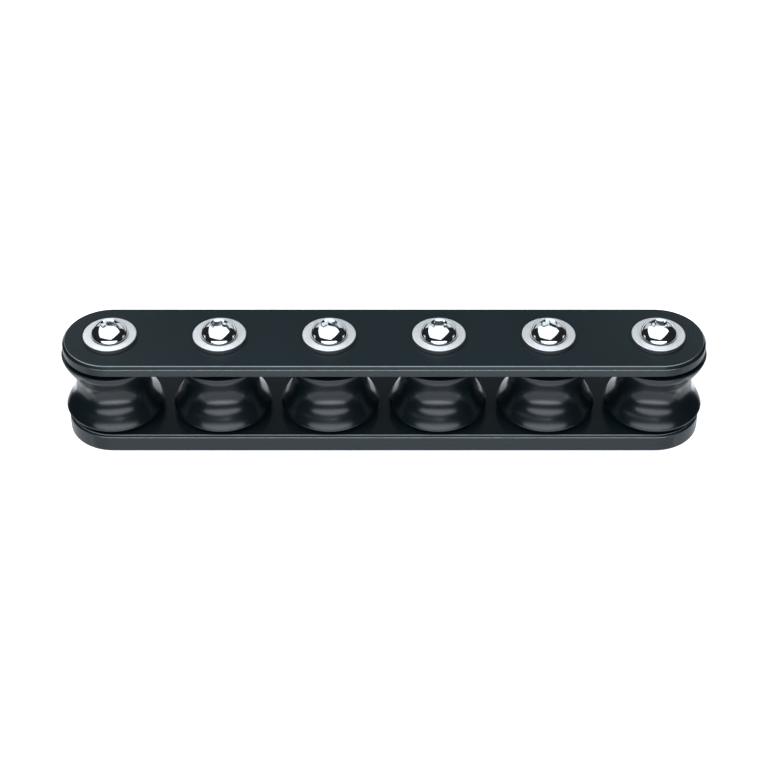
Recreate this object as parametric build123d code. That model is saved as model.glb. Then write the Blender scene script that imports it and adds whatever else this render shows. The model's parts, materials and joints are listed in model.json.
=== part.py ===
from build123d import *
import os
from math import radians, sqrt, tan

# Deck organizer with six sheaves in a row, in millimetres.
# The origin is the middle of the base plate's underside, X runs along the row and Z points up.
# Threads are drawn plain: a tapped hole and the thread in it are both as wide as the tapping drill.

# Row of sheaves
SHEAVE_COUNT = 6
SHEAVE_PITCH = 41.0

# Sheave, a turned aluminium hourglass with a rounded lobe at each rim
RIM_DIAMETER = 37.4
WAIST_DIAMETER = 28.0
SHEAVE_HEIGHT = 25.2
RIM_LAND = 0.6
LOBE_RADIUS = 4.0
SHEAVE_EDGE_ROUND = 0.3
SHEAVE_BORE_CHAMFER = 0.8

# Plain bearing: a thin polymer bush in the sheave, turning on a fixed post
POST_DIAMETER = 14.0
BUSH_WALL = 0.95
BUSH_RECESS = 0.5
BUSH_CHAMFER = 0.3
RUNNING_CLEARANCE = 0.05

# Thrust washers above and below each sheave, the lower one thicker because it carries the sheave
THRUST_WASHER_DIAMETER = 25.0
LOWER_WASHER_THICKNESS = 2.0
UPPER_WASHER_THICKNESS = 1.2
THRUST_WASHER_BORE_CLEARANCE = 0.1
SHEAVE_END_FLOAT = 0.1

# Plates, with round ends about the outer sheaves' axes
PLATE_WIDTH = 36.0
BASE_THICKNESS = 7.6
BASE_CHAMFER_HEIGHT = 0.95
BASE_CHAMFER_WIDTH = 0.8
TOP_THICKNESS = 4.6
TOP_CHAMFER_HEIGHT = 1.25
TOP_CHAMFER_WIDTH = 1.05
PLATE_UNDERSIDE_BREAK = 0.3

# Lower end of the post, a spigot pressed into the base plate
POST_SHOULDER = 1.5
SPIGOT_RECESS = 0.3
POST_EDGE_BREAK = 0.3

# M8 thread of the screws and of the deck bolts
THREAD_DIAMETER = 8.0
THREAD_PITCH = 1.25
SCREW_HOLE_CLEARANCE = 0.2
DECK_THREAD_DEPTH = 14.0
SCREW_TIP_CLEARANCE = 2.5
DRILL_POINT_ANGLE = 118.0

# Button head screw with a hexagon socket, and the washer under it
SCREW_LENGTH = 20.0
HEAD_DIAMETER = 14.0
HEAD_HEIGHT = 4.75
HEAD_EDGE_HEIGHT = 0.3
SOCKET_ACROSS_FLATS = 5.0
SOCKET_DEPTH = 2.9
SOCKET_MOUTH_CHAMFER = 0.6
SCREW_TURN = 23.0
WASHER_DIAMETER = 20.0
WASHER_THICKNESS = 1.6
WASHER_EDGE_BREAK = 0.25

# Places that follow from the sizes above
RIM_RADIUS = RIM_DIAMETER / 2
WAIST_RADIUS = WAIST_DIAMETER / 2
POST_RADIUS = POST_DIAMETER / 2
SPIGOT_RADIUS = POST_RADIUS - POST_SHOULDER
THREAD_RADIUS = THREAD_DIAMETER / 2
TAPPING_RADIUS = THREAD_RADIUS - THREAD_PITCH / 2
SCREW_HOLE_RADIUS = THREAD_RADIUS + SCREW_HOLE_CLEARANCE
BUSH_OUTER_RADIUS = POST_RADIUS + RUNNING_CLEARANCE + BUSH_WALL
ROW_LENGTH = (SHEAVE_COUNT - 1) * SHEAVE_PITCH
SHEAVE_BOTTOM = BASE_THICKNESS + LOWER_WASHER_THICKNESS + SHEAVE_END_FLOAT
SHEAVE_TOP = SHEAVE_BOTTOM + SHEAVE_HEIGHT
TOP_UNDERSIDE = SHEAVE_TOP + SHEAVE_END_FLOAT + UPPER_WASHER_THICKNESS
TOP_SURFACE = TOP_UNDERSIDE + TOP_THICKNESS
HEAD_SEAT = TOP_SURFACE + WASHER_THICKNESS
SHANK_LENGTH = HEAD_SEAT - TOP_UNDERSIDE
SCREW_THREAD_DEPTH = SCREW_LENGTH - SHANK_LENGTH + SCREW_TIP_CLEARANCE
STATIONS = [index * SHEAVE_PITCH - ROW_LENGTH / 2 for index in range(SHEAVE_COUNT)]


def arc_about(centre, radius, start, end):
    """Arc from start to end about a centre, the short way round."""
    middle = (Vector(*start) + Vector(*end)) / 2 - Vector(*centre)
    return ThreePointArc(start, Vector(*centre) + middle.normalized() * radius, end)


def turned(outline):
    """Solid turned about Z from a closed outline of radius and height."""
    return revolve(make_face(Plane.XZ * outline), Axis.Z)


def drill_point(radius):
    """Depth of the cone that a drill of this radius leaves."""
    return radius / tan(radians(DRILL_POINT_ANGLE / 2))


def tapped_hole(depth):
    """Blind M8 hole, downwards from Z = 0, with a lead-in at its mouth and a drill point."""
    lead_in = THREAD_RADIUS - TAPPING_RADIUS
    corners = [
        (0, 0),
        (THREAD_RADIUS, 0),
        (TAPPING_RADIUS, -lead_in),
        (TAPPING_RADIUS, -depth),
        (0, -depth - drill_point(TAPPING_RADIUS)),
    ]
    return turned(Polyline(corners, close=True))


def plate_blank(thickness, chamfer_height, chamfer_width):
    """Plate with round ends, its upper edge chamfered and its lower edge broken."""
    blank = extrude(SlotCenterToCenter(ROW_LENGTH, PLATE_WIDTH), thickness)
    upper = blank.faces().sort_by(Axis.Z)[-1]
    blank = chamfer(upper.edges(), chamfer_width, chamfer_height, reference=upper)
    return chamfer(blank.faces().sort_by(Axis.Z)[0].edges(), PLATE_UNDERSIDE_BREAK)


def bored(plate, radius, thickness):
    """Plate with a hole through it on every sheave's axis."""
    for x in STATIONS:
        plate -= Pos(x, 0, 0) * extrude(Circle(radius), thickness)
    return plate


def base_plate():
    """Thick plate that lies on the deck, bored for the posts' spigots."""
    plate = plate_blank(BASE_THICKNESS, BASE_CHAMFER_HEIGHT, BASE_CHAMFER_WIDTH)
    return bored(plate, SPIGOT_RADIUS, BASE_THICKNESS)


def top_plate():
    """Thinner plate, clamped down on the posts' shoulders by the screws."""
    plate = plate_blank(TOP_THICKNESS, TOP_CHAMFER_HEIGHT, TOP_CHAMFER_WIDTH)
    return Pos(0, 0, TOP_UNDERSIDE) * bored(plate, SCREW_HOLE_RADIUS, TOP_THICKNESS)


def sheave():
    """Hourglass groove that runs tangent into a rounded lobe below each rim's short land."""
    half = SHEAVE_HEIGHT / 2
    lobe_place = RIM_RADIUS - LOBE_RADIUS
    lobe_height = half - RIM_LAND
    # The groove is the circle through the waist that touches both lobes.
    reach = lobe_place - WAIST_RADIUS
    groove_radius = (reach**2 + lobe_height**2 - LOBE_RADIUS**2) / (2 * (LOBE_RADIUS + reach))
    groove_place = WAIST_RADIUS + groove_radius
    share = groove_radius / (groove_radius + LOBE_RADIUS)
    touch = (groove_place + share * (lobe_place - groove_place), share * lobe_height)
    edge_height = half - SHEAVE_EDGE_ROUND
    edge_place = RIM_RADIUS - SHEAVE_EDGE_ROUND
    mouth_radius = BUSH_OUTER_RADIUS + SHEAVE_BORE_CHAMFER
    mouth_height = half - SHEAVE_BORE_CHAMFER
    ends_and_bore = Polyline(
        (edge_place, half),
        (mouth_radius, half),
        (BUSH_OUTER_RADIUS, mouth_height),
        (BUSH_OUTER_RADIUS, -mouth_height),
        (mouth_radius, -half),
        (edge_place, -half),
    )
    land_end = (RIM_RADIUS, edge_height)
    land_start = (RIM_RADIUS, lobe_height)
    edge_round = arc_about((edge_place, edge_height), SHEAVE_EDGE_ROUND, (edge_place, half), land_end)
    lobe = arc_about((lobe_place, lobe_height), LOBE_RADIUS, land_start, touch)
    upper_rim = edge_round + Line(land_end, land_start) + lobe
    groove = arc_about((groove_place, 0), groove_radius, touch, (touch[0], -touch[1]))
    body = turned(ends_and_bore + upper_rim + groove + mirror(upper_rim, about=Plane.XZ))
    return Pos(0, 0, SHEAVE_BOTTOM + half) * body


def bearing_bush():
    """Thin polymer bush, pressed into the sheave and a little short of its ends."""
    bore_radius = POST_RADIUS + RUNNING_CLEARANCE
    length = SHEAVE_HEIGHT - 2 * BUSH_RECESS
    corners = [
        (bore_radius + BUSH_CHAMFER, 0),
        (BUSH_OUTER_RADIUS, 0),
        (BUSH_OUTER_RADIUS, length),
        (bore_radius + BUSH_CHAMFER, length),
        (bore_radius, length - BUSH_CHAMFER),
        (bore_radius, BUSH_CHAMFER),
    ]
    return Pos(0, 0, SHEAVE_BOTTOM + BUSH_RECESS) * turned(Polyline(corners, close=True))


def axle_post():
    """Fixed axle with a spigot in the base plate and a tapped hole in each end."""
    corners = [
        (0, SPIGOT_RECESS),
        (SPIGOT_RADIUS - POST_EDGE_BREAK, SPIGOT_RECESS),
        (SPIGOT_RADIUS, SPIGOT_RECESS + POST_EDGE_BREAK),
        (SPIGOT_RADIUS, BASE_THICKNESS),
        (POST_RADIUS, BASE_THICKNESS),
        (POST_RADIUS, TOP_UNDERSIDE - POST_EDGE_BREAK),
        (POST_RADIUS - POST_EDGE_BREAK, TOP_UNDERSIDE),
        (0, TOP_UNDERSIDE),
    ]
    post = turned(Polyline(corners, close=True))
    post -= Pos(0, 0, TOP_UNDERSIDE) * tapped_hole(SCREW_THREAD_DEPTH)
    return post - Pos(0, 0, SPIGOT_RECESS) * Rot(180, 0, 0) * tapped_hole(DECK_THREAD_DEPTH)


def thrust_washer(thickness):
    """Plastic ring that keeps the sheave's end off a plate, standing on Z = 0."""
    face = Circle(THRUST_WASHER_DIAMETER / 2) - Circle(POST_RADIUS + THRUST_WASHER_BORE_CLEARANCE)
    return extrude(face, thickness)


def lower_thrust_washer():
    """Thrust washer on the base plate."""
    return Pos(0, 0, BASE_THICKNESS) * thrust_washer(LOWER_WASHER_THICKNESS)


def upper_thrust_washer():
    """Thrust washer under the top plate."""
    return Pos(0, 0, TOP_UNDERSIDE - UPPER_WASHER_THICKNESS) * thrust_washer(UPPER_WASHER_THICKNESS)


def screw_washer():
    """Plain washer on the top plate, its upper rim broken."""
    face = Circle(WASHER_DIAMETER / 2) - Circle(SCREW_HOLE_RADIUS)
    washer = extrude(face, WASHER_THICKNESS)
    rim = washer.faces().sort_by(Axis.Z)[-1].outer_wire().edges()
    return Pos(0, 0, TOP_SURFACE) * chamfer(rim, WASHER_EDGE_BREAK)


def screw_socket():
    """Hexagon socket with a drilled bottom, downwards from Z = 0."""
    corner_radius = SOCKET_ACROSS_FLATS / sqrt(3)
    bottom = -SOCKET_DEPTH - drill_point(corner_radius)
    drilled = [(0, 0), (corner_radius, 0), (corner_radius, -SOCKET_DEPTH), (0, bottom)]
    return extrude(RegularPolygon(corner_radius, 6), bottom) & turned(Polyline(drilled, close=True))


def cap_screw():
    """Button head screw: a domed head, a plain shank and the thread in the post."""
    edge = (HEAD_DIAMETER / 2, HEAD_EDGE_HEIGHT)
    flat_radius = SOCKET_ACROSS_FLATS / 2
    mouth = (flat_radius + SOCKET_MOUTH_CHAMFER, HEAD_HEIGHT)
    # The dome leaves the head's edge upright and ends at the socket's mouth.
    run = edge[0] - mouth[0]
    dome_radius = (run**2 + (HEAD_HEIGHT - HEAD_EDGE_HEIGHT) ** 2) / (2 * run)
    dome = arc_about((edge[0] - dome_radius, HEAD_EDGE_HEIGHT), dome_radius, edge, mouth)
    lead_in = THREAD_RADIUS - TAPPING_RADIUS
    rest = Polyline(
        mouth,
        (flat_radius, HEAD_HEIGHT - SOCKET_MOUTH_CHAMFER),
        (0, HEAD_HEIGHT - SOCKET_MOUTH_CHAMFER),
        (0, -SCREW_LENGTH),
        (TAPPING_RADIUS - lead_in, -SCREW_LENGTH),
        (TAPPING_RADIUS, lead_in - SCREW_LENGTH),
        (TAPPING_RADIUS, -SHANK_LENGTH),
        (THREAD_RADIUS, -SHANK_LENGTH),
        (THREAD_RADIUS, 0),
        (edge[0], 0),
        edge,
    )
    return Pos(0, 0, HEAD_SEAT) * (turned(dome + rest) - Pos(0, 0, HEAD_HEIGHT) * screw_socket())


def write(name, solid):
    """One STEP file for one named piece."""
    solid.label = name
    export_step(solid, os.path.join("parts", name + ".step"))


def build():
    """Both plates once, and the pieces of each sheave's station along the row."""
    os.makedirs("parts", exist_ok=True)
    write("base_plate", base_plate())
    write("top_plate", top_plate())
    station = {
        "axle_post": axle_post(),
        "lower_thrust_washer": lower_thrust_washer(),
        "sheave": sheave(),
        "bearing_bush": bearing_bush(),
        "upper_thrust_washer": upper_thrust_washer(),
        "screw_washer": screw_washer(),
    }
    screw = cap_screw()
    for number, x in enumerate(STATIONS, start=1):
        for name, solid in station.items():
            write(f"{name}_{number}", Pos(x, 0, 0) * solid)
        # Each screw is tight at another turn of its socket.
        write(f"cap_screw_{number}", Pos(x, 0, 0) * Rot(0, 0, SCREW_TURN * number) * screw)


build()
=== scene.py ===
import json
import math

import bmesh
import bpy
from bpy.props import FloatProperty, FloatVectorProperty, IntProperty, PointerProperty
from mathutils import Matrix, Vector

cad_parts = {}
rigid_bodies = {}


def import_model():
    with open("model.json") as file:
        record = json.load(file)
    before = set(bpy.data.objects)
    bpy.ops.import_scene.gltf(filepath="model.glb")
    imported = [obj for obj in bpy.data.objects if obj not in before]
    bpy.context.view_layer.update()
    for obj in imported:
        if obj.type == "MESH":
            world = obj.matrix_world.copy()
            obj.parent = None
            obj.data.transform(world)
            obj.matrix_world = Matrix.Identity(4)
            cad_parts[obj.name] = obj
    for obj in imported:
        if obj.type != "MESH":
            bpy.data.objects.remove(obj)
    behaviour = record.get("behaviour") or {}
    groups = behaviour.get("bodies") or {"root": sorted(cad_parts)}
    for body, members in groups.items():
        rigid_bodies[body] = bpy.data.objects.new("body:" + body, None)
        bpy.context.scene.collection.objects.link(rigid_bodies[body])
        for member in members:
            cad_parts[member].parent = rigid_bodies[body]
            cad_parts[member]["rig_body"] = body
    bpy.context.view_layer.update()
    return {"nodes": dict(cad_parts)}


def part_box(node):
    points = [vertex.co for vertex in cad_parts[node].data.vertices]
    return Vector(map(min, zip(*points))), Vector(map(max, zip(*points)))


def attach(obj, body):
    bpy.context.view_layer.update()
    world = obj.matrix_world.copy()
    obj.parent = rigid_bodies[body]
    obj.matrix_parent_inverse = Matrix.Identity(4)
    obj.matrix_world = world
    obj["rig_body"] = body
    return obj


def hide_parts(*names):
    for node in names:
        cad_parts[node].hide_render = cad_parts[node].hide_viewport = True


# Looks of a deck organizer: six black sheaves between two black plates, held by stainless screws.
# Lengths are in metres in the part's own frame: X along the row, Z up, and the base plate's
# underside at Z = 0.

bl_info = {
    "name": "Deck Organizer Looks",
    "version": (1, 0, 0),
    "blender": (4, 5, 0),
    "location": "3D Viewport > Sidebar > Deck Organizer",
    "description": "Models and finishes the plates, sheaves, washers and screws of a deck organizer",
    "category": "Add Mesh",
}

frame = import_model()

MM = 0.001
FRAME_BODY = "frame"
STATION_COUNT = sum(name.startswith("sheave_") for name in frame["nodes"])
STATIONS = range(1, STATION_COUNT + 1)

# Steps of a full turn, of a plate's round end, and of each kind of arc in an outline
TURN_STEPS = 96
END_STEPS = 64
GROOVE_STEPS = 48
DOME_STEPS = 36
LOBE_STEPS = 24
EDGE_STEPS = 6
CORNER_STEPS = 4

# Vertices closer than this are merged, and edges sharper than this stay sharp.
WELD_DISTANCE = 1e-6
SHARP_ANGLE = math.radians(30)
# How far a cutter stands out of what it cuts, and how far the socket's two cutters overlap
PROUD = 1 * MM
OVERLAP = 0.05 * MM
# A plate's face is part of a round where its normal's Z differs by more than this from a flat face's.
# Those rounds get a painted highlight.
HIGHLIGHT_ROUND_MARGIN = 0.004
# A face is on the rim of a round piece from this share of its radius outwards.
# Those rims get painted shade.
RIM_SHARE = 0.98


# Settings

def linear(hex_colour):
    """Linear RGBA of an sRGB colour such as 1A1F22."""
    channels = [int(hex_colour[place:place + 2], 16) / 255 for place in (0, 2, 4)]
    curve = [c / 12.92 if c <= 0.04045 else ((c + 0.055) / 1.055) ** 2.4 for c in channels]
    return (*curve, 1.0)


def length(name, description, millimetres):
    """Length property with its default in millimetres."""
    return FloatProperty(
        name=name, description=description, default=millimetres * MM, min=0.0, precision=5,
        unit="LENGTH", subtype="DISTANCE",
    )


def angle(name, description, degrees):
    """Angle property with its default in degrees."""
    return FloatProperty(
        name=name, description=description, default=math.radians(degrees), min=0.0,
        subtype="ANGLE",
    )


def colour(name, description, hex_colour):
    """Colour property with an sRGB default."""
    return FloatVectorProperty(
        name=name, description=description, default=linear(hex_colour), size=4,
        min=0.0, max=1.0, subtype="COLOR",
    )


class PlateSettings(bpy.types.PropertyGroup):
    """Edges, holes and finish of the two plates"""

    top_chamfer: length("Top plate chamfer", "Height of the top plate's upper chamfer", 1.25)
    base_chamfer: length("Base plate chamfer", "Height of the base plate's upper chamfer", 0.95)
    chamfer_slope: FloatProperty(
        name="Chamfer slope", description="Width of a chamfer as a share of its height",
        default=0.68, min=0.1, max=1.0, subtype="FACTOR",
    )
    lower_break: length("Lower edge break", "Break round each plate's lower edge", 0.3)
    edge_round: length("Edge round", "Rounding that tumbling leaves on each edge", 0.42)
    screw_hole: length("Screw hole radius", "Radius of the top plate's screw holes", 4.2)
    spigot_hole: length("Spigot hole radius", "Radius of the base plate's bores", 5.5)
    hole_break: length("Hole break", "Break round each hole's edges", 0.2)
    finish: colour("Anodised plate", "Colour of the plates' black anodising", "131D20")
    # The rounds along the plates' edges get a bright metal colour: a painted highlight.
    painted_edge_tone: colour("Painted edge highlight", "Bright metal colour painted on the edge rounds as a highlight", "7B8084")


class SheaveSettings(bpy.types.PropertyGroup):
    """Profile, bore and finish of the sheaves"""

    waist_radius: length("Waist radius", "Radius at the bottom of the groove", 14.2)
    groove_radius: length("Groove radius", "Radius of the groove's round", 13.1)
    flank: angle("Flank", "Lean of the groove where it runs into a rim's lobe", 35.4)
    upper_lip: angle("Upper lip", "Lean of the upper lobe where it meets its edge round", 13)
    upper_edge_round: length("Upper edge round", "Round between upper lobe and end face", 0.3)
    lower_lip: angle("Lower lip", "Lean of the lower lobe where it meets its edge round", 22)
    lower_edge_round: length("Lower edge round", "Round between lower lobe and end face", 1.0)
    bore_radius: length("Bore radius", "Radius of the bore for the bearing bush", 8.0)
    bore_chamfer: length("Bore chamfer", "Chamfer at each mouth of the bore", 0.8)
    finish: colour("Anodised sheave", "Colour of the sheaves' black anodising", "0B1418")


class WasherSettings(bpy.types.PropertyGroup):
    """Hole, rim and finish of the washers under the screw heads"""

    hole_radius: length("Hole radius", "Radius of the washer's hole", 4.2)
    edge_round: length("Edge round", "Rounded upper rim that the punch leaves", 0.25)
    finish: colour("Washer steel", "Colour of the washers' stainless steel", "F0EFED")
    # The washers' upright rim is coloured dark and dull: painted shade.
    painted_edge_tone: colour("Shaded washer rim", "Dark colour painted on the washers' rim as shade", "747678")


class ScrewSettings(bpy.types.PropertyGroup):
    """Head, socket, shank and finish of the screws"""

    head_height: length("Head height", "Height of the button head", 4.75)
    edge_height: length("Edge height", "Height of the head's straight edge", 0.5)
    dome_lean: angle("Dome lean", "Inward lean of the dome where it starts at the edge", 16)
    across_flats: length("Across flats", "Width of the hexagon socket", 5.0)
    socket_depth: length("Socket depth", "Depth of the hexagon socket", 2.9)
    mouth_chamfer: length("Mouth chamfer", "Chamfer at the socket's mouth", 0.6)
    shank_radius: length("Shank radius", "Radius of the plain shank", 4.0)
    thread_radius: length("Thread radius", "Radius that stands for the thread in the post", 3.375)
    shank_length: length("Shank length", "Length of the plain shank under the head", 6.2)
    turn: angle("Turn", "Turn of each screw's socket from the one before it", 23)
    finish: colour("Screw steel", "Colour of the screws' polished stainless steel", "E2E4E5")
    # A head's straight edge is coloured dark: painted shade of the contact line under the head.
    painted_edge_tone: colour("Shaded head edge", "Dark colour painted on a head's straight edge as shade", "2C2E30")


class InnerSettings(bpy.types.PropertyGroup):
    """Finishes of the posts, thrust washers and bearing bushes"""

    post_finish: colour("Turned post", "Colour of the posts' stainless steel", "C4C7C9")
    washer_finish: colour("Thrust washer", "Colour of the thrust washers' acetal", "17181A")
    bush_finish: colour("Bearing bush", "Colour of the bushes' filled polymer", "6E6A60")


class StudioSettings(bpy.types.PropertyGroup):
    """Camera and table"""

    focal_length: FloatProperty(
        name="Focal length", description="Focal length of the camera, in millimetres",
        default=100.1, min=1.0, unit="CAMERA",
    )
    distance: length("Camera distance", "From the camera to the point it looks at", 813.0)
    elevation: angle("Camera elevation", "Height of the camera above the horizon", 39.745)
    aim_height: length("Aim height", "Height of the point that the camera looks at", 18.116)
    table_radius: length("Table radius", "Radius of the pale table", 3000.0)
    table_steps: IntProperty(
        name="Table steps", description="Sides of the table's outline", default=96, min=3,
    )
    table: colour("Table", "Colour of the pale table", "F6F7F7")


# Outlines and pieces

def draw_line(bm, vert, *points):
    """Straight edges from vert on through points of X and Z. Gives the last vertex."""
    for x, z in points:
        vert = bmesh.ops.extrude_vert_indiv(bm, verts=[vert])["verts"][0]
        vert.co = (x, 0, z)
    return vert


def draw_arc(bm, vert, centre, end, steps):
    """Round edge from vert to end, the short way about a centre of X and Z. Gives the last vertex."""
    start_angle = math.atan2(vert.co.z - centre[1], vert.co.x - centre[0])
    end_angle = math.atan2(end[1] - centre[1], end[0] - centre[0])
    sweep = math.remainder(end_angle - start_angle, 2 * math.pi)
    spun = bmesh.ops.spin(
        bm, geom=[vert], cent=(centre[0], 0, centre[1]), axis=(0, -1, 0), angle=sweep,
        steps=steps,
    )
    last = next(item for item in spun["geom_last"] if isinstance(item, bmesh.types.BMVert))
    last.co = (end[0], 0, end[1])
    return last


def draw_rounded(bm, vert, points, radius):
    """Straight edges from vert through points of X and Z, with every corner on the way rounded."""
    for (x, z), after in zip(points, points[1:]):
        corner = Vector((x, z))
        back = (Vector((vert.co.x, vert.co.z)) - corner).normalized()
        ahead = (Vector(after) - corner).normalized()
        half_angle = back.angle(ahead) / 2
        centre = corner + (back + ahead).normalized() * radius / math.sin(half_angle)
        tangent = radius / math.tan(half_angle)
        vert = draw_line(bm, vert, corner + back * tangent)
        vert = draw_arc(bm, vert, centre, corner + ahead * tangent, CORNER_STEPS)
    draw_line(bm, vert, points[-1])


def arc_centre(start, outward, end):
    """Centre of the arc from start, where its surface faces outward, to end."""
    chord = end - start
    radius = -chord.length_squared / (2 * chord.dot(outward))
    return start - outward * radius


def turned(bm, x=0.0):
    """Turns the outline a full circle about the upright axis at X."""
    bmesh.ops.spin(
        bm, geom=bm.verts[:] + bm.edges[:], cent=(x, 0, 0), axis=(0, 0, 1),
        angle=2 * math.pi, steps=TURN_STEPS, use_merge=True,
    )


def closed_mesh(name, bm):
    """Mesh with its doubles merged and its faces outwards, smooth but for its sharp edges."""
    bmesh.ops.remove_doubles(bm, verts=bm.verts, dist=WELD_DISTANCE)
    bmesh.ops.recalc_face_normals(bm, faces=bm.faces)
    mesh = bpy.data.meshes.new(name)
    bm.to_mesh(mesh)
    bm.free()
    mesh.shade_smooth()
    mesh.set_sharp_from_angle(angle=SHARP_ANGLE)
    return mesh


def linked(name, data):
    """New object in the scene for a mesh, a light or a camera."""
    made = bpy.data.objects.new(name, data)
    bpy.context.scene.collection.objects.link(made)
    return made


def piece(name, mesh, materials, body, node):
    """Object that stands for a CAD node, rides on its body and takes its slot's finish."""
    mesh.name = name
    for material in materials:
        mesh.materials.append(material)
    made = linked(name, mesh)
    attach(made, body)
    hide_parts(node)
    return made


def centre_of(node):
    """X of the axis of a CAD node that is round."""
    low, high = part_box(node)
    return (low.x + high.x) / 2


def copies(mesh, kind, materials, turn=0.0):
    """One copy of the mesh on each station's axis, in place of the CAD nodes of that kind."""
    for number in STATIONS:
        node = f"{kind}_{number}"
        body = frame["nodes"][node]["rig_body"]
        placed = mesh.copy()
        place = Matrix.Translation((centre_of(node), 0, 0))
        placed.transform(place @ Matrix.Rotation(turn * number, 4, "Z"))
        piece(f"finished_{node}", placed, materials, body, node)
    bpy.data.meshes.remove(mesh)


def cut(mesh, cutters):
    """The mesh with each cutter taken out of it."""
    for cutter in cutters:
        blank = linked("blank", mesh)
        tool = linked("tool", cutter)
        boolean = blank.modifiers.new("cut", "BOOLEAN")
        boolean.operation = "DIFFERENCE"
        boolean.solver = "EXACT"
        boolean.object = tool
        depsgraph = bpy.context.evaluated_depsgraph_get()
        result = bpy.data.meshes.new_from_object(blank.evaluated_get(depsgraph))
        for helper in (blank, tool):
            bpy.data.objects.remove(helper)
        bpy.data.meshes.remove(mesh)
        bpy.data.meshes.remove(cutter)
        mesh = result
    return mesh


def mark_shaded_rim(mesh, radius, low, high):
    """Gives the painted shade, the second material, to a round piece's upright rim between two heights.
    """
    for face in mesh.polygons:
        on_rim = math.hypot(face.center.x, face.center.y) > RIM_SHARE * radius
        face.material_index = int(on_rim and low < face.center.z < high)


# Finishes

def shade(base, share):
    """The colour made lighter or darker by a share."""
    return (*(min(1.0, channel * share) for channel in base[:3]), 1.0)


def add(tree, kind, values=None, **settings):
    """Adds a shader node with its settings. Values are its sockets' numbers or what links to them."""
    node = tree.nodes.new(kind)
    for name, value in settings.items():
        setattr(node, name, value)
    for socket, value in (values or {}).items():
        if isinstance(value, bpy.types.NodeSocket):
            tree.links.new(value, node.inputs[socket])
        else:
            node.inputs[socket].default_value = value
    return node


def blank_material(name):
    """Empty node material and its tree."""
    material = bpy.data.materials.new(name)
    material.use_nodes = True
    material.node_tree.nodes.clear()
    return material, material.node_tree


def anodised_plate(base):
    """Black anodised aluminium plate, machined and lightly blasted: semi-gloss, with a fine grain."""
    material, tree = blank_material("Black anodised aluminium plate")
    place = add(tree, "ShaderNodeTexCoord").outputs["Object"]
    # The dye takes a little unevenly, in clouds about 40 mm wide.
    cloud_scale = (1 / (40 * MM),) * 3
    cloud_place = add(tree, "ShaderNodeMapping", {"Vector": place, "Scale": cloud_scale})
    clouds = add(
        tree, "ShaderNodeTexNoise",
        {"Vector": cloud_place.outputs[0], "Scale": 1.0, "Detail": 2.0},
    )
    tint = add(
        tree, "ShaderNodeMix",
        {"Factor": clouds.outputs["Fac"], "A": base, "B": shade(base, 1.35)},
        data_type="RGBA",
    )
    # Cutter marks on the sides: upright lines 0.5 mm apart, coarser than the real ones to show.
    line_scale = (1 / (0.5 * MM), 1 / (0.5 * MM), 1 / (30 * MM))
    line_place = add(tree, "ShaderNodeMapping", {"Vector": place, "Scale": line_scale})
    lines = add(
        tree, "ShaderNodeTexNoise",
        {"Vector": line_place.outputs[0], "Scale": 1.0, "Detail": 2.0},
    )
    bump = add(
        tree, "ShaderNodeBump",
        {"Height": lines.outputs["Fac"], "Strength": 0.5, "Distance": 0.02 * MM},
    )
    shader = add(
        tree, "ShaderNodeBsdfPrincipled",
        {
            "Base Color": tint.outputs["Result"], "Normal": bump.outputs[0],
            "Roughness": 0.22, "IOR": 1.5,
        },
    )
    add(tree, "ShaderNodeOutputMaterial", {"Surface": shader.outputs[0]})
    return material


def painted_highlight_edge(base):
    """Aluminium edge coloured as bright bare metal: a painted highlight along the rounds."""
    material, tree = blank_material("Aluminium edge with painted highlight")
    place = add(tree, "ShaderNodeTexCoord").outputs["Object"]
    # The painted highlight grows brighter and dimmer every 3 mm or so.
    variation_scale = (1 / (3 * MM),) * 3
    variation_place = add(tree, "ShaderNodeMapping", {"Vector": place, "Scale": variation_scale})
    highlight_variation = add(
        tree, "ShaderNodeTexNoise",
        {"Vector": variation_place.outputs[0], "Scale": 1.0, "Detail": 2.0},
    )
    tint = add(
        tree, "ShaderNodeMix",
        {"Factor": highlight_variation.outputs["Fac"], "A": shade(base, 0.8), "B": shade(base, 1.2)},
        data_type="RGBA",
    )
    shader = add(
        tree, "ShaderNodeBsdfPrincipled",
        {"Base Color": tint.outputs["Result"], "Metallic": 1.0, "Roughness": 0.3},
    )
    add(tree, "ShaderNodeOutputMaterial", {"Surface": shader.outputs[0]})
    return material


def anodised_sheave(base):
    """Black hard anodised aluminium, turned smooth: glossy, with rings too fine to tell apart."""
    material, tree = blank_material("Black anodised aluminium sheave")
    place = add(tree, "ShaderNodeTexCoord").outputs["Object"]
    # Turning marks run round the sheave 0.4 mm apart, coarser than the real ones to show.
    ring_scale = (0.0, 0.0, 1 / (0.4 * MM))
    ring_place = add(tree, "ShaderNodeMapping", {"Vector": place, "Scale": ring_scale})
    rings = add(
        tree, "ShaderNodeTexNoise",
        {"Vector": ring_place.outputs[0], "Scale": 1.0, "Detail": 3.0},
    )
    bump = add(
        tree, "ShaderNodeBump",
        {"Height": rings.outputs["Fac"], "Strength": 0.15, "Distance": 0.004 * MM},
    )
    # The dye takes a little unevenly, in clouds about 15 mm wide.
    cloud_scale = (1 / (15 * MM),) * 3
    cloud_place = add(tree, "ShaderNodeMapping", {"Vector": place, "Scale": cloud_scale})
    clouds = add(
        tree, "ShaderNodeTexNoise",
        {"Vector": cloud_place.outputs[0], "Scale": 1.0, "Detail": 2.0},
    )
    tint = add(
        tree, "ShaderNodeMix",
        {"Factor": clouds.outputs["Fac"], "A": base, "B": shade(base, 1.4)},
        data_type="RGBA",
    )
    shader = add(
        tree, "ShaderNodeBsdfPrincipled",
        {
            "Base Color": tint.outputs["Result"], "Normal": bump.outputs[0],
            "Roughness": 0.22, "IOR": 1.6,
        },
    )
    add(tree, "ShaderNodeOutputMaterial", {"Surface": shader.outputs[0]})
    return material


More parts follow.
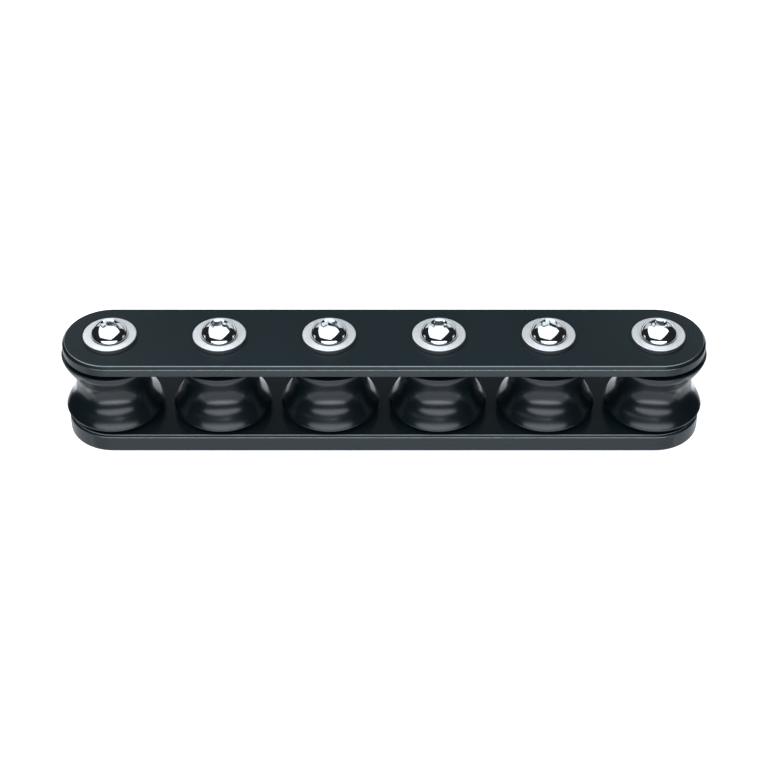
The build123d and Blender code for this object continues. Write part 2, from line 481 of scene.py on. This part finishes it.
def satin_washer(base):
    """Stainless steel washer, punched and tumbled: satin, with a fine random grain."""
    material, tree = blank_material("Tumbled stainless steel washer")
    place = add(tree, "ShaderNodeTexCoord").outputs["Object"]
    # Tumbling grain of about 0.6 mm, coarser than the real one to show.
    grain_scale = (1 / (0.6 * MM),) * 3
    grain_place = add(tree, "ShaderNodeMapping", {"Vector": place, "Scale": grain_scale})
    grain = add(
        tree, "ShaderNodeTexNoise",
        {"Vector": grain_place.outputs[0], "Scale": 1.0, "Detail": 3.0},
    )
    bump = add(
        tree, "ShaderNodeBump",
        {"Height": grain.outputs["Fac"], "Strength": 1.0, "Distance": 0.08 * MM},
    )
    rough = add(
        tree, "ShaderNodeMapRange",
        {"Value": grain.outputs["Fac"], "To Min": 0.45, "To Max": 0.55},
    )
    # Tumbling leaves dull spots among the bright ones.
    tint = add(
        tree, "ShaderNodeMix",
        {"Factor": grain.outputs["Fac"], "A": shade(base, 0.8), "B": shade(base, 1.3)},
        data_type="RGBA",
    )
    shader = add(
        tree, "ShaderNodeBsdfPrincipled",
        {
            "Base Color": tint.outputs["Result"], "Metallic": 1.0,
            "Normal": bump.outputs[0], "Roughness": rough.outputs[0],
        },
    )
    add(tree, "ShaderNodeOutputMaterial", {"Surface": shader.outputs[0]})
    return material


def polished_screw(base):
    """Stainless steel screw, cold headed and polished: a near mirror with waves from the die."""
    material, tree = blank_material("Polished stainless steel screw")
    place = add(tree, "ShaderNodeTexCoord").outputs["Object"]
    # Waves about 2 mm long.
    wave_scale = (1 / (2 * MM),) * 3
    wave_place = add(tree, "ShaderNodeMapping", {"Vector": place, "Scale": wave_scale})
    waves = add(
        tree, "ShaderNodeTexNoise",
        {"Vector": wave_place.outputs[0], "Scale": 1.0, "Detail": 1.0},
    )
    bump = add(
        tree, "ShaderNodeBump",
        {"Height": waves.outputs["Fac"], "Strength": 0.3, "Distance": 0.03 * MM},
    )
    rough = add(
        tree, "ShaderNodeMapRange",
        {"Value": waves.outputs["Fac"], "To Min": 0.05, "To Max": 0.09},
    )
    shader = add(
        tree, "ShaderNodeBsdfPrincipled",
        {
            "Base Color": base, "Metallic": 1.0,
            "Normal": bump.outputs[0], "Roughness": rough.outputs[0],
        },
    )
    add(tree, "ShaderNodeOutputMaterial", {"Surface": shader.outputs[0]})
    return material


def painted_shade_steel(name, base):
    """Stainless steel coloured dull and dark, with a coarse grain: painted shade on a rim."""
    material, tree = blank_material(name)
    place = add(tree, "ShaderNodeTexCoord").outputs["Object"]
    # Grain of about 0.3 mm.
    grain_scale = (1 / (0.3 * MM),) * 3
    grain_place = add(tree, "ShaderNodeMapping", {"Vector": place, "Scale": grain_scale})
    grain = add(
        tree, "ShaderNodeTexNoise",
        {"Vector": grain_place.outputs[0], "Scale": 1.0, "Detail": 2.0},
    )
    tint = add(
        tree, "ShaderNodeMix",
        {"Factor": grain.outputs["Fac"], "A": shade(base, 0.7), "B": shade(base, 1.3)},
        data_type="RGBA",
    )
    shader = add(
        tree, "ShaderNodeBsdfPrincipled",
        {"Base Color": tint.outputs["Result"], "Metallic": 1.0, "Roughness": 0.55},
    )
    add(tree, "ShaderNodeOutputMaterial", {"Surface": shader.outputs[0]})
    return material


def turned_post(base):
    """Stainless steel bar, turned: bright, with feed rings round it."""
    material, tree = blank_material("Turned stainless steel post")
    place = add(tree, "ShaderNodeTexCoord").outputs["Object"]
    # Feed rings 0.2 mm apart.
    ring_scale = (0.0, 0.0, 1 / (0.2 * MM))
    ring_place = add(tree, "ShaderNodeMapping", {"Vector": place, "Scale": ring_scale})
    rings = add(
        tree, "ShaderNodeTexNoise",
        {"Vector": ring_place.outputs[0], "Scale": 1.0, "Detail": 2.0},
    )
    bump = add(
        tree, "ShaderNodeBump",
        {"Height": rings.outputs["Fac"], "Strength": 0.4, "Distance": 0.01 * MM},
    )
    shader = add(
        tree, "ShaderNodeBsdfPrincipled",
        {"Base Color": base, "Metallic": 1.0, "Normal": bump.outputs[0], "Roughness": 0.25},
    )
    add(tree, "ShaderNodeOutputMaterial", {"Surface": shader.outputs[0]})
    return material


def moulded_plastic(name, base, grain_size, roughness):
    """Moulded bearing plastic: matt, faintly speckled by its fill."""
    material, tree = blank_material(name)
    place = add(tree, "ShaderNodeTexCoord").outputs["Object"]
    speck_scale = (1 / grain_size,) * 3
    speck_place = add(tree, "ShaderNodeMapping", {"Vector": place, "Scale": speck_scale})
    specks = add(
        tree, "ShaderNodeTexNoise",
        {"Vector": speck_place.outputs[0], "Scale": 1.0, "Detail": 2.0},
    )
    tint = add(
        tree, "ShaderNodeMix",
        {"Factor": specks.outputs["Fac"], "A": shade(base, 0.8), "B": shade(base, 1.2)},
        data_type="RGBA",
    )
    bump = add(
        tree, "ShaderNodeBump",
        {"Height": specks.outputs["Fac"], "Strength": 0.2, "Distance": 0.01 * MM},
    )
    shader = add(
        tree, "ShaderNodeBsdfPrincipled",
        {
            "Base Color": tint.outputs["Result"], "Normal": bump.outputs[0],
            "Roughness": roughness,
        },
    )
    add(tree, "ShaderNodeOutputMaterial", {"Surface": shader.outputs[0]})
    return material


def light_table(base):
    """Opal acrylic light table: pale, matt, and lit from beneath so that it shows little shadow."""
    material, tree = blank_material("Opal acrylic light table")
    shader = add(
        tree, "ShaderNodeBsdfPrincipled",
        {"Base Color": base, "Roughness": 0.9, "Emission Color": base, "Emission Strength": 0.8},
    )
    add(tree, "ShaderNodeOutputMaterial", {"Surface": shader.outputs[0]})
    return material


# Plates

def swept_round(bm, half_row):
    """Sweeps the outline round a plate: half a turn about each end and straight along both sides."""
    front = bm.verts[:] + bm.edges[:]
    for x in (half_row, -half_row):
        spun = bmesh.ops.spin(
            bm, geom=front, cent=(x, 0, 0), axis=(0, 0, 1), angle=math.pi, steps=END_STEPS,
        )
        edges = [item for item in spun["geom_last"] if isinstance(item, bmesh.types.BMEdge)]
        drawn = bmesh.ops.extrude_edge_only(bm, edges=edges)["geom"]
        moved = [item for item in drawn if isinstance(item, bmesh.types.BMVert)]
        bmesh.ops.translate(bm, vec=(-2 * x, 0, 0), verts=moved)
        front = moved + [item for item in drawn if isinstance(item, bmesh.types.BMEdge)]
    bmesh.ops.remove_doubles(bm, verts=bm.verts, dist=WELD_DISTANCE)


def joined(bm, other):
    """Adds another bmesh to bm and frees it."""
    bmesh.ops.remove_doubles(other, verts=other.verts, dist=WELD_DISTANCE)
    carrier = bpy.data.meshes.new("carrier")
    other.to_mesh(carrier)
    other.free()
    bm.from_mesh(carrier)
    bpy.data.meshes.remove(carrier)


def hole_cutter(radius, hole_break, thickness):
    """What the drill and the countersink take out of a plate on every sheave's axis."""
    wide = radius + hole_break + PROUD
    bm = bmesh.new()
    for number in STATIONS:
        x = centre_of(f"sheave_{number}")
        hole = bmesh.new()
        start = hole.verts.new((x, 0, -PROUD))
        draw_line(
            hole, start,
            (x + wide, -PROUD),
            (x + radius, hole_break),
            (x + radius, thickness - hole_break),
            (x + wide, thickness + PROUD),
            (x, thickness + PROUD),
        )
        turned(hole, x)
        joined(bm, hole)
    return closed_mesh("cutter", bm)


def mark_highlight_rounds(mesh, settings):
    """Second material, a painted highlight, for the rounds between a plate's side, chamfer and top."""
    chamfer_lean = math.atan(settings.chamfer_slope)
    flats = (0.0, math.sin(chamfer_lean), 1.0)
    for face in mesh.polygons:
        rise = face.normal.z
        on_round = min(abs(rise - flat) for flat in flats) > HIGHLIGHT_ROUND_MARGIN
        face.material_index = int(rise > 0 and on_round)


def plate_mesh(node, chamfer, settings, hole_radius):
    """Plate with round ends, chamfered above and bored on every sheave's axis."""
    low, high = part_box(node)
    radius = (high.y - low.y) / 2
    half_row = high.x - radius
    thickness = high.z - low.z
    lower = settings.lower_break
    # The outline lies square to the front side and starts a little inside the plate's edge.
    inside = -radius + 2 * chamfer
    bm = bmesh.new()
    first = bm.verts.new((inside, 0, 0))
    corners = [
        (-radius + lower, 0),
        (-radius, lower),
        (-radius, thickness - chamfer),
        (-radius + chamfer * settings.chamfer_slope, thickness),
        (inside, thickness),
    ]
    draw_rounded(bm, first, corners, settings.edge_round)
    quarter_turn = Matrix.Rotation(math.radians(90), 3, "Z")
    bmesh.ops.rotate(bm, verts=bm.verts, cent=(0, 0, 0), matrix=quarter_turn)
    bmesh.ops.translate(bm, vec=(half_row, 0, 0), verts=bm.verts)
    swept_round(bm, half_row)
    for height in (0, thickness):
        rim = [
            edge for edge in bm.edges
            if edge.is_boundary
            and all(abs(vert.co.z - height) < WELD_DISTANCE for vert in edge.verts)
        ]
        bmesh.ops.contextual_create(bm, geom=rim)
    cutter = hole_cutter(hole_radius, settings.hole_break, thickness)
    mesh = cut(closed_mesh(node, bm), [cutter])
    mesh.transform(Matrix.Translation((0, 0, low.z)))
    # The rounds get the painted highlight.
    mark_highlight_rounds(mesh, settings)
    return mesh


class DECKORGANIZER_OT_plates(bpy.types.Operator):
    """Model the base plate and the top plate"""

    bl_idname = "deck_organizer.plates"
    bl_label = "Plates"

    def execute(self, context):
        settings = context.scene.deck_plates
        materials = [
            anodised_plate(tuple(settings.finish)),
            # The second material paints a highlight on the plates' edge rounds.
            painted_highlight_edge(tuple(settings.painted_edge_tone)),
        ]
        for node, chamfer, hole in (
            ("base_plate", settings.base_chamfer, settings.spigot_hole),
            ("top_plate", settings.top_chamfer, settings.screw_hole),
        ):
            mesh = plate_mesh(node, chamfer, settings, hole)
            made = piece(f"finished_{node}", mesh, materials, FRAME_BODY, node)
            made.modifiers.new("Flat faces stay flat", "WEIGHTED_NORMAL").keep_sharp = True
        return {"FINISHED"}


# Sheaves

def lobe_of(rim, half, edge_round, lip, touch, outward):
    """Where a rim's lobe meets its edge round, and the centre of the lobe, from the groove at touch."""
    corner = Vector((rim - edge_round, half - edge_round))
    crest = corner + edge_round * Vector((math.cos(lip), -math.sin(lip)))
    return crest, arc_centre(touch, outward, crest)


def sheave_mesh(settings):
    """Hourglass groove that runs tangent into a soft lobe at each rim, bored for its bush."""
    low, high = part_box("sheave_1")
    rim = (high.x - low.x) / 2
    half = (high.z - low.z) / 2
    middle = (high.z + low.z) / 2
    groove_place = settings.waist_radius + settings.groove_radius
    outward = Vector((math.cos(settings.flank), -math.sin(settings.flank)))
    touch = Vector((groove_place, 0)) - outward * settings.groove_radius
    above = settings.upper_edge_round
    below = settings.lower_edge_round
    upper_crest, upper_lobe = lobe_of(rim, half, above, settings.upper_lip, touch, outward)
    lower_crest, lower_lobe = lobe_of(rim, half, below, settings.lower_lip, touch, outward)
    # The lower lobe is worked out as an upper one and then mirrored about the waist.
    for point in (lower_crest, lower_lobe):
        point.y = -point.y
    mouth = settings.bore_radius + settings.bore_chamfer
    mouth_height = half - settings.bore_chamfer
    bm = bmesh.new()
    first = bm.verts.new((upper_crest.x, 0, upper_crest.y))
    vert = draw_arc(bm, first, upper_lobe, touch, LOBE_STEPS)
    vert = draw_arc(bm, vert, (groove_place, 0), (touch.x, -touch.y), GROOVE_STEPS)
    vert = draw_arc(bm, vert, lower_lobe, lower_crest, LOBE_STEPS)
    vert = draw_arc(bm, vert, (rim - below, below - half), (rim - below, -half), EDGE_STEPS)
    vert = draw_line(
        bm, vert,
        (mouth, -half),
        (settings.bore_radius, -mouth_height),
        (settings.bore_radius, mouth_height),
        (mouth, half),
        (rim - above, half),
    )
    draw_arc(bm, vert, (rim - above, half - above), upper_crest, EDGE_STEPS)
    turned(bm)
    bmesh.ops.translate(bm, vec=(0, 0, middle), verts=bm.verts)
    return closed_mesh("sheave", bm)


class DECKORGANIZER_OT_sheaves(bpy.types.Operator):
    """Model the hourglass sheaves"""

    bl_idname = "deck_organizer.sheaves"
    bl_label = "Sheaves"

    def execute(self, context):
        settings = context.scene.deck_sheaves
        materials = [anodised_sheave(tuple(settings.finish))]
        copies(sheave_mesh(settings), "sheave", materials)
        return {"FINISHED"}


# Washers

def washer_mesh(settings):
    """Flat washer, its upper rim rounded and its other edges as punched."""
    low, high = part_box("screw_washer_1")
    rim = (high.x - low.x) / 2
    curve = settings.edge_round
    bm = bmesh.new()
    first = bm.verts.new((settings.hole_radius, 0, low.z))
    vert = draw_line(bm, first, (rim, low.z), (rim, high.z - curve))
    vert = draw_arc(bm, vert, (rim - curve, high.z - curve), (rim - curve, high.z), EDGE_STEPS)
    vert = draw_line(bm, vert, (settings.hole_radius, high.z))
    bm.edges.new((vert, first))
    turned(bm)
    mesh = closed_mesh("washer", bm)
    # The upright rim gets the painted shade.
    mark_shaded_rim(mesh, rim, low.z, high.z - curve)
    return mesh


class DECKORGANIZER_OT_washers(bpy.types.Operator):
    """Model the washers under the screw heads"""

    bl_idname = "deck_organizer.washers"
    bl_label = "Washers"

    def execute(self, context):
        settings = context.scene.deck_washers
        materials = [
            satin_washer(tuple(settings.finish)),
            # The second material paints shade on the washers' upright rim.
            painted_shade_steel("Stainless steel washer rim with painted shade", tuple(settings.painted_edge_tone)),
        ]
        copies(washer_mesh(settings), "screw_washer", materials)
        return {"FINISHED"}


# Screws

def screw_body(settings, head_radius, tip, seat):
    """Screw without its hexagon: a domed head with the socket's mouth, a shank and the thread."""
    top = seat + settings.head_height
    flat = settings.across_flats / 2
    mouth = Vector((flat + settings.mouth_chamfer, top))
    edge = Vector((head_radius, seat + settings.edge_height))
    outward = Vector((math.cos(settings.dome_lean), math.sin(settings.dome_lean)))
    shank_end = seat - settings.shank_length
    lead_in = settings.shank_radius - settings.thread_radius
    bm = bmesh.new()
    first = bm.verts.new((0, 0, top - settings.mouth_chamfer))
    vert = draw_line(bm, first, (flat, top - settings.mouth_chamfer), mouth)
    vert = draw_arc(bm, vert, arc_centre(edge, outward, mouth), edge, DOME_STEPS)
    draw_line(
        bm, vert,
        (head_radius, seat),
        (settings.shank_radius, seat),
        (settings.shank_radius, shank_end),
        (settings.thread_radius, shank_end),
        (settings.thread_radius, tip + lead_in),
        (settings.thread_radius - lead_in, tip),
        (0, tip),
    )
    turned(bm)
    return closed_mesh("screw", bm)


def socket_cutters(settings, top):
    """What the header punches out of the mouth: the hexagon and its coned bottom."""
    flat = settings.across_flats / 2
    corner = settings.across_flats / math.sqrt(3)
    bottom = top - settings.socket_depth
    cone_depth = flat / 2
    hexagon = bmesh.new()
    bmesh.ops.create_circle(
        hexagon, cap_ends=True, segments=6, radius=corner,
        matrix=Matrix.Translation((0, 0, bottom)),
    )
    raised = bmesh.ops.extrude_face_region(hexagon, geom=hexagon.faces[:])["geom"]
    bmesh.ops.translate(
        hexagon, vec=(0, 0, settings.socket_depth + PROUD),
        verts=[item for item in raised if isinstance(item, bmesh.types.BMVert)],
    )
    cone = bmesh.new()
    start = cone.verts.new((0, 0, bottom - cone_depth))
    draw_line(cone, start, (flat - OVERLAP, bottom + OVERLAP), (0, bottom + OVERLAP))
    turned(cone)
    return [closed_mesh("cutter", shape) for shape in (hexagon, cone)]


def screw_mesh(settings):
    """Button head screw with its hexagon socket."""
    low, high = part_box("cap_screw_1")
    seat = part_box("screw_washer_1")[1].z
    head_radius = (high.x - low.x) / 2
    body = screw_body(settings, head_radius, low.z, seat)
    mesh = cut(body, socket_cutters(settings, seat + settings.head_height))
    bm = bmesh.new()
    bm.from_mesh(mesh)
    bpy.data.meshes.remove(mesh)
    mesh = closed_mesh("screw", bm)
    # The head's straight edge gets the painted shade.
    mark_shaded_rim(mesh, head_radius, seat, seat + settings.edge_height)
    return mesh


class DECKORGANIZER_OT_screws(bpy.types.Operator):
    """Model the button head screws and their hexagon sockets"""

    bl_idname = "deck_organizer.screws"
    bl_label = "Screws"

    def execute(self, context):
        settings = context.scene.deck_screws
        materials = [
            polished_screw(tuple(settings.finish)),
            # The second material paints shade on the heads' straight edges.
            painted_shade_steel("Stainless steel head edge with painted shade", tuple(settings.painted_edge_tone)),
        ]
        copies(screw_mesh(settings), "cap_screw", materials, settings.turn)
        return {"FINISHED"}


# Posts and bearings

class DECKORGANIZER_OT_inner_parts(bpy.types.Operator):
    """Finish the posts, thrust washers and bearing bushes, whose CAD shapes stay"""

    bl_idname = "deck_organizer.inner_parts"
    bl_label = "Posts and bearings"

    def execute(self, context):
        settings = context.scene.deck_inner
        finishes = {
            "axle_post": turned_post(tuple(settings.post_finish)),
            "thrust_washer": moulded_plastic(
                "Black acetal", tuple(settings.washer_finish), grain_size=0.6 * MM, roughness=0.45,
            ),
            "bearing_bush": moulded_plastic(
                "Filled bearing polymer", tuple(settings.bush_finish), grain_size=0.4 * MM,
                roughness=0.6,
            ),
        }
        for node, made in frame["nodes"].items():
            for kind, material in finishes.items():
                if kind in node:
                    made.data.materials.clear()
                    made.data.materials.append(material)
        return {"FINISHED"}


# Studio

# Softboxes that face the object: name, shape, direction (0 is the camera's side, 90 is +X) and
# elevation in degrees, distance, width and height in metres, and radiance. Those of the table
# stand in for it in the metal, which doesn't mirror the table itself.
SOFTBOXES = (
    ("front strip", "ELLIPSE", 0, 8.5, 1.2, 2.5, 0.40, 2.8),
    ("table edge", "ELLIPSE", 0, -27, 1.0, 1.8, 0.22, 3.5),
    ("table glow", "ELLIPSE", 0, -50, 1.0, 2.6, 1.1, 0.75),
    ("table centre", "ELLIPSE", 0, -50, 1.0, 1.7, 0.8, 0.6),
    ("table foot", "ELLIPSE", 0, -93, 1.0, 2.2, 0.5, 0.9),
    ("table left", "RECTANGLE", -112, -40, 1.0, 1.5, 0.45, 0.9),
    ("table right", "RECTANGLE", 112, -40, 1.0, 1.5, 0.45, 0.9),
    ("back table", "RECTANGLE", 180, -22, 1.3, 2.3, 0.84, 1.1),
    ("back low", "RECTANGLE", 180, 4, 1.3, 1.2, 0.4, 0.5),
    ("back left", "RECTANGLE", 212, 24, 1.3, 0.7, 0.6, 0.7),
    ("back right", "RECTANGLE", 148, 24, 1.3, 0.7, 0.6, 0.8),
    ("right low", "RECTANGLE", 146, -4, 1.3, 0.7, 0.7, 0.3),
    ("back wall", "RECTANGLE", 180, 40, 1.3, 2.4, 0.8, 0.12),
)
# Level softbox above the object: its middle, its turn, its width and length, and its radiance
OVERHEAD_PLACE = (-0.3, -0.4, 1.0)
OVERHEAD_TURN = math.radians(-22)
OVERHEAD_SIZE = (2.4, 2.3)
OVERHEAD_RADIANCE = 1.9
# Colour of every softbox, and how bright the room is apart from them
COOL_WHITE = linear("F0F8FF")[:3]
ROOM_RADIANCE = 0.02


def towards(azimuth, elevation):
    """Unit vector in a direction, where azimuth 0 is the camera's side."""
    level = math.cos(elevation)
    return Vector((math.sin(azimuth) * level, -math.cos(azimuth) * level, math.sin(elevation)))


def area_light(name, shape, width, height, radiance, place):
    """Softbox that the camera doesn't see, its power worked out from its radiance and area."""
    fill = math.pi / 4 if shape == "ELLIPSE" else 1.0
    light = bpy.data.lights.new(name, "AREA")
    light.shape = shape
    light.size = width
    light.size_y = height
    light.color = COOL_WHITE
    light.energy = radiance * math.pi * width * height * fill
    made = linked(name, light)
    made.matrix_world = place
    made.visible_camera = False


def softbox(name, shape, azimuth, elevation, distance, width, height, radiance):
    """Softbox in a direction from the object, turned to face it."""
    direction = towards(math.radians(azimuth), math.radians(elevation))
    turn = direction.to_track_quat("Z", "Y").to_matrix().to_4x4()
    place = Matrix.Translation(direction * distance) @ turn
    area_light(name, shape, width, height, radiance, place)


def overhead():
    """Level softbox above the object, turned a little from the row."""
    place = Matrix.Translation(OVERHEAD_PLACE) @ Matrix.Rotation(OVERHEAD_TURN, 4, "Z")
    area_light("overhead", "RECTANGLE", *OVERHEAD_SIZE, OVERHEAD_RADIANCE, place)


def lay_table(settings):
    """Pale round table under the object."""
    bm = bmesh.new()
    bmesh.ops.create_circle(
        bm, cap_ends=True, segments=settings.table_steps, radius=settings.table_radius,
    )
    mesh = bpy.data.meshes.new("light_table")
    bm.to_mesh(mesh)
    bm.free()
    mesh.materials.append(light_table(tuple(settings.table)))
    table = linked("light_table", mesh)
    # The metal mirrors the softboxes and not an endless white plane, and light from the ones
    # below passes up through the table.
    table.visible_glossy = False
    table.visible_diffuse = False
    table.visible_shadow = False


def studio_room():
    """Dim room for the metal to mirror, white where the camera looks past the table."""
    world = bpy.data.worlds.new("Studio room")
    bpy.context.scene.world = world
    world.use_nodes = True
    tree = world.node_tree
    tree.nodes.clear()
    seen = add(tree, "ShaderNodeLightPath").outputs["Is Camera Ray"]
    strength = add(
        tree, "ShaderNodeMapRange", {"Value": seen, "To Min": ROOM_RADIANCE, "To Max": 1.0},
    )
    background = add(
        tree, "ShaderNodeBackground",
        {"Color": (1.0, 1.0, 1.0, 1.0), "Strength": strength.outputs[0]},
    )
    add(tree, "ShaderNodeOutputWorld", {"Surface": background.outputs[0]})


def set_camera(settings):
    """Camera at the photograph's viewing angle."""
    camera = linked("camera", bpy.data.cameras.new("camera"))
    camera.data.lens = settings.focal_length
    back = towards(0.0, settings.elevation)
    camera.location = Vector((0, 0, settings.aim_height)) + back * settings.distance
    camera.rotation_euler = back.to_track_quat("Z", "Y").to_euler()
    bpy.context.scene.camera = camera


class DECKORGANIZER_OT_studio(bpy.types.Operator):
    """Set up the pale table, the softboxes and the camera"""

    bl_idname = "deck_organizer.studio"
    bl_label = "Studio"

    def execute(self, context):
        settings = context.scene.deck_studio
        lay_table(settings)
        for box in SOFTBOXES:
            softbox(*box)
        overhead()
        studio_room()
        set_camera(settings)
        context.scene.view_settings.view_transform = "Standard"
        return {"FINISHED"}


# Panel and registration

SETTINGS = {
    "deck_plates": PlateSettings,
    "deck_sheaves": SheaveSettings,
    "deck_washers": WasherSettings,
    "deck_screws": ScrewSettings,
    "deck_inner": InnerSettings,
    "deck_studio": StudioSettings,
}
PANEL_ROWS = {
    "deck_plates": DECKORGANIZER_OT_plates,
    "deck_sheaves": DECKORGANIZER_OT_sheaves,
    "deck_washers": DECKORGANIZER_OT_washers,
    "deck_screws": DECKORGANIZER_OT_screws,
    "deck_inner": DECKORGANIZER_OT_inner_parts,
    "deck_studio": DECKORGANIZER_OT_studio,
}


class DECKORGANIZER_PT_panel(bpy.types.Panel):
    """Lists the pieces of the deck organizer"""

    bl_idname = "DECKORGANIZER_PT_panel"
    bl_label = "Deck Organizer"
    bl_space_type = "VIEW_3D"
    bl_region_type = "UI"
    bl_category = "Deck Organizer"

    def draw(self, context):
        for group, operator in PANEL_ROWS.items():
            settings = getattr(context.scene, group)
            box = self.layout.box()
            box.operator(operator.bl_idname)
            for name in SETTINGS[group].__annotations__:
                box.prop(settings, name)


CLASSES = (*SETTINGS.values(), *PANEL_ROWS.values(), DECKORGANIZER_PT_panel)


def register():
    """Registers the classes and puts the settings on the scene."""
    for item in CLASSES:
        bpy.utils.register_class(item)
    for name, group in SETTINGS.items():
        setattr(bpy.types.Scene, name, PointerProperty(type=group))


def unregister():
    """Takes the settings and the classes away again."""
    for name in SETTINGS:
        delattr(bpy.types.Scene, name)
    for item in reversed(CLASSES):
        bpy.utils.unregister_class(item)


def main():
    """Builds the whole scene."""
    register()
    bpy.ops.deck_organizer.plates()
    bpy.ops.deck_organizer.sheaves()
    bpy.ops.deck_organizer.washers()
    bpy.ops.deck_organizer.screws()
    bpy.ops.deck_organizer.inner_parts()
    bpy.ops.deck_organizer.studio()


if __name__ == "__main__":
    main()
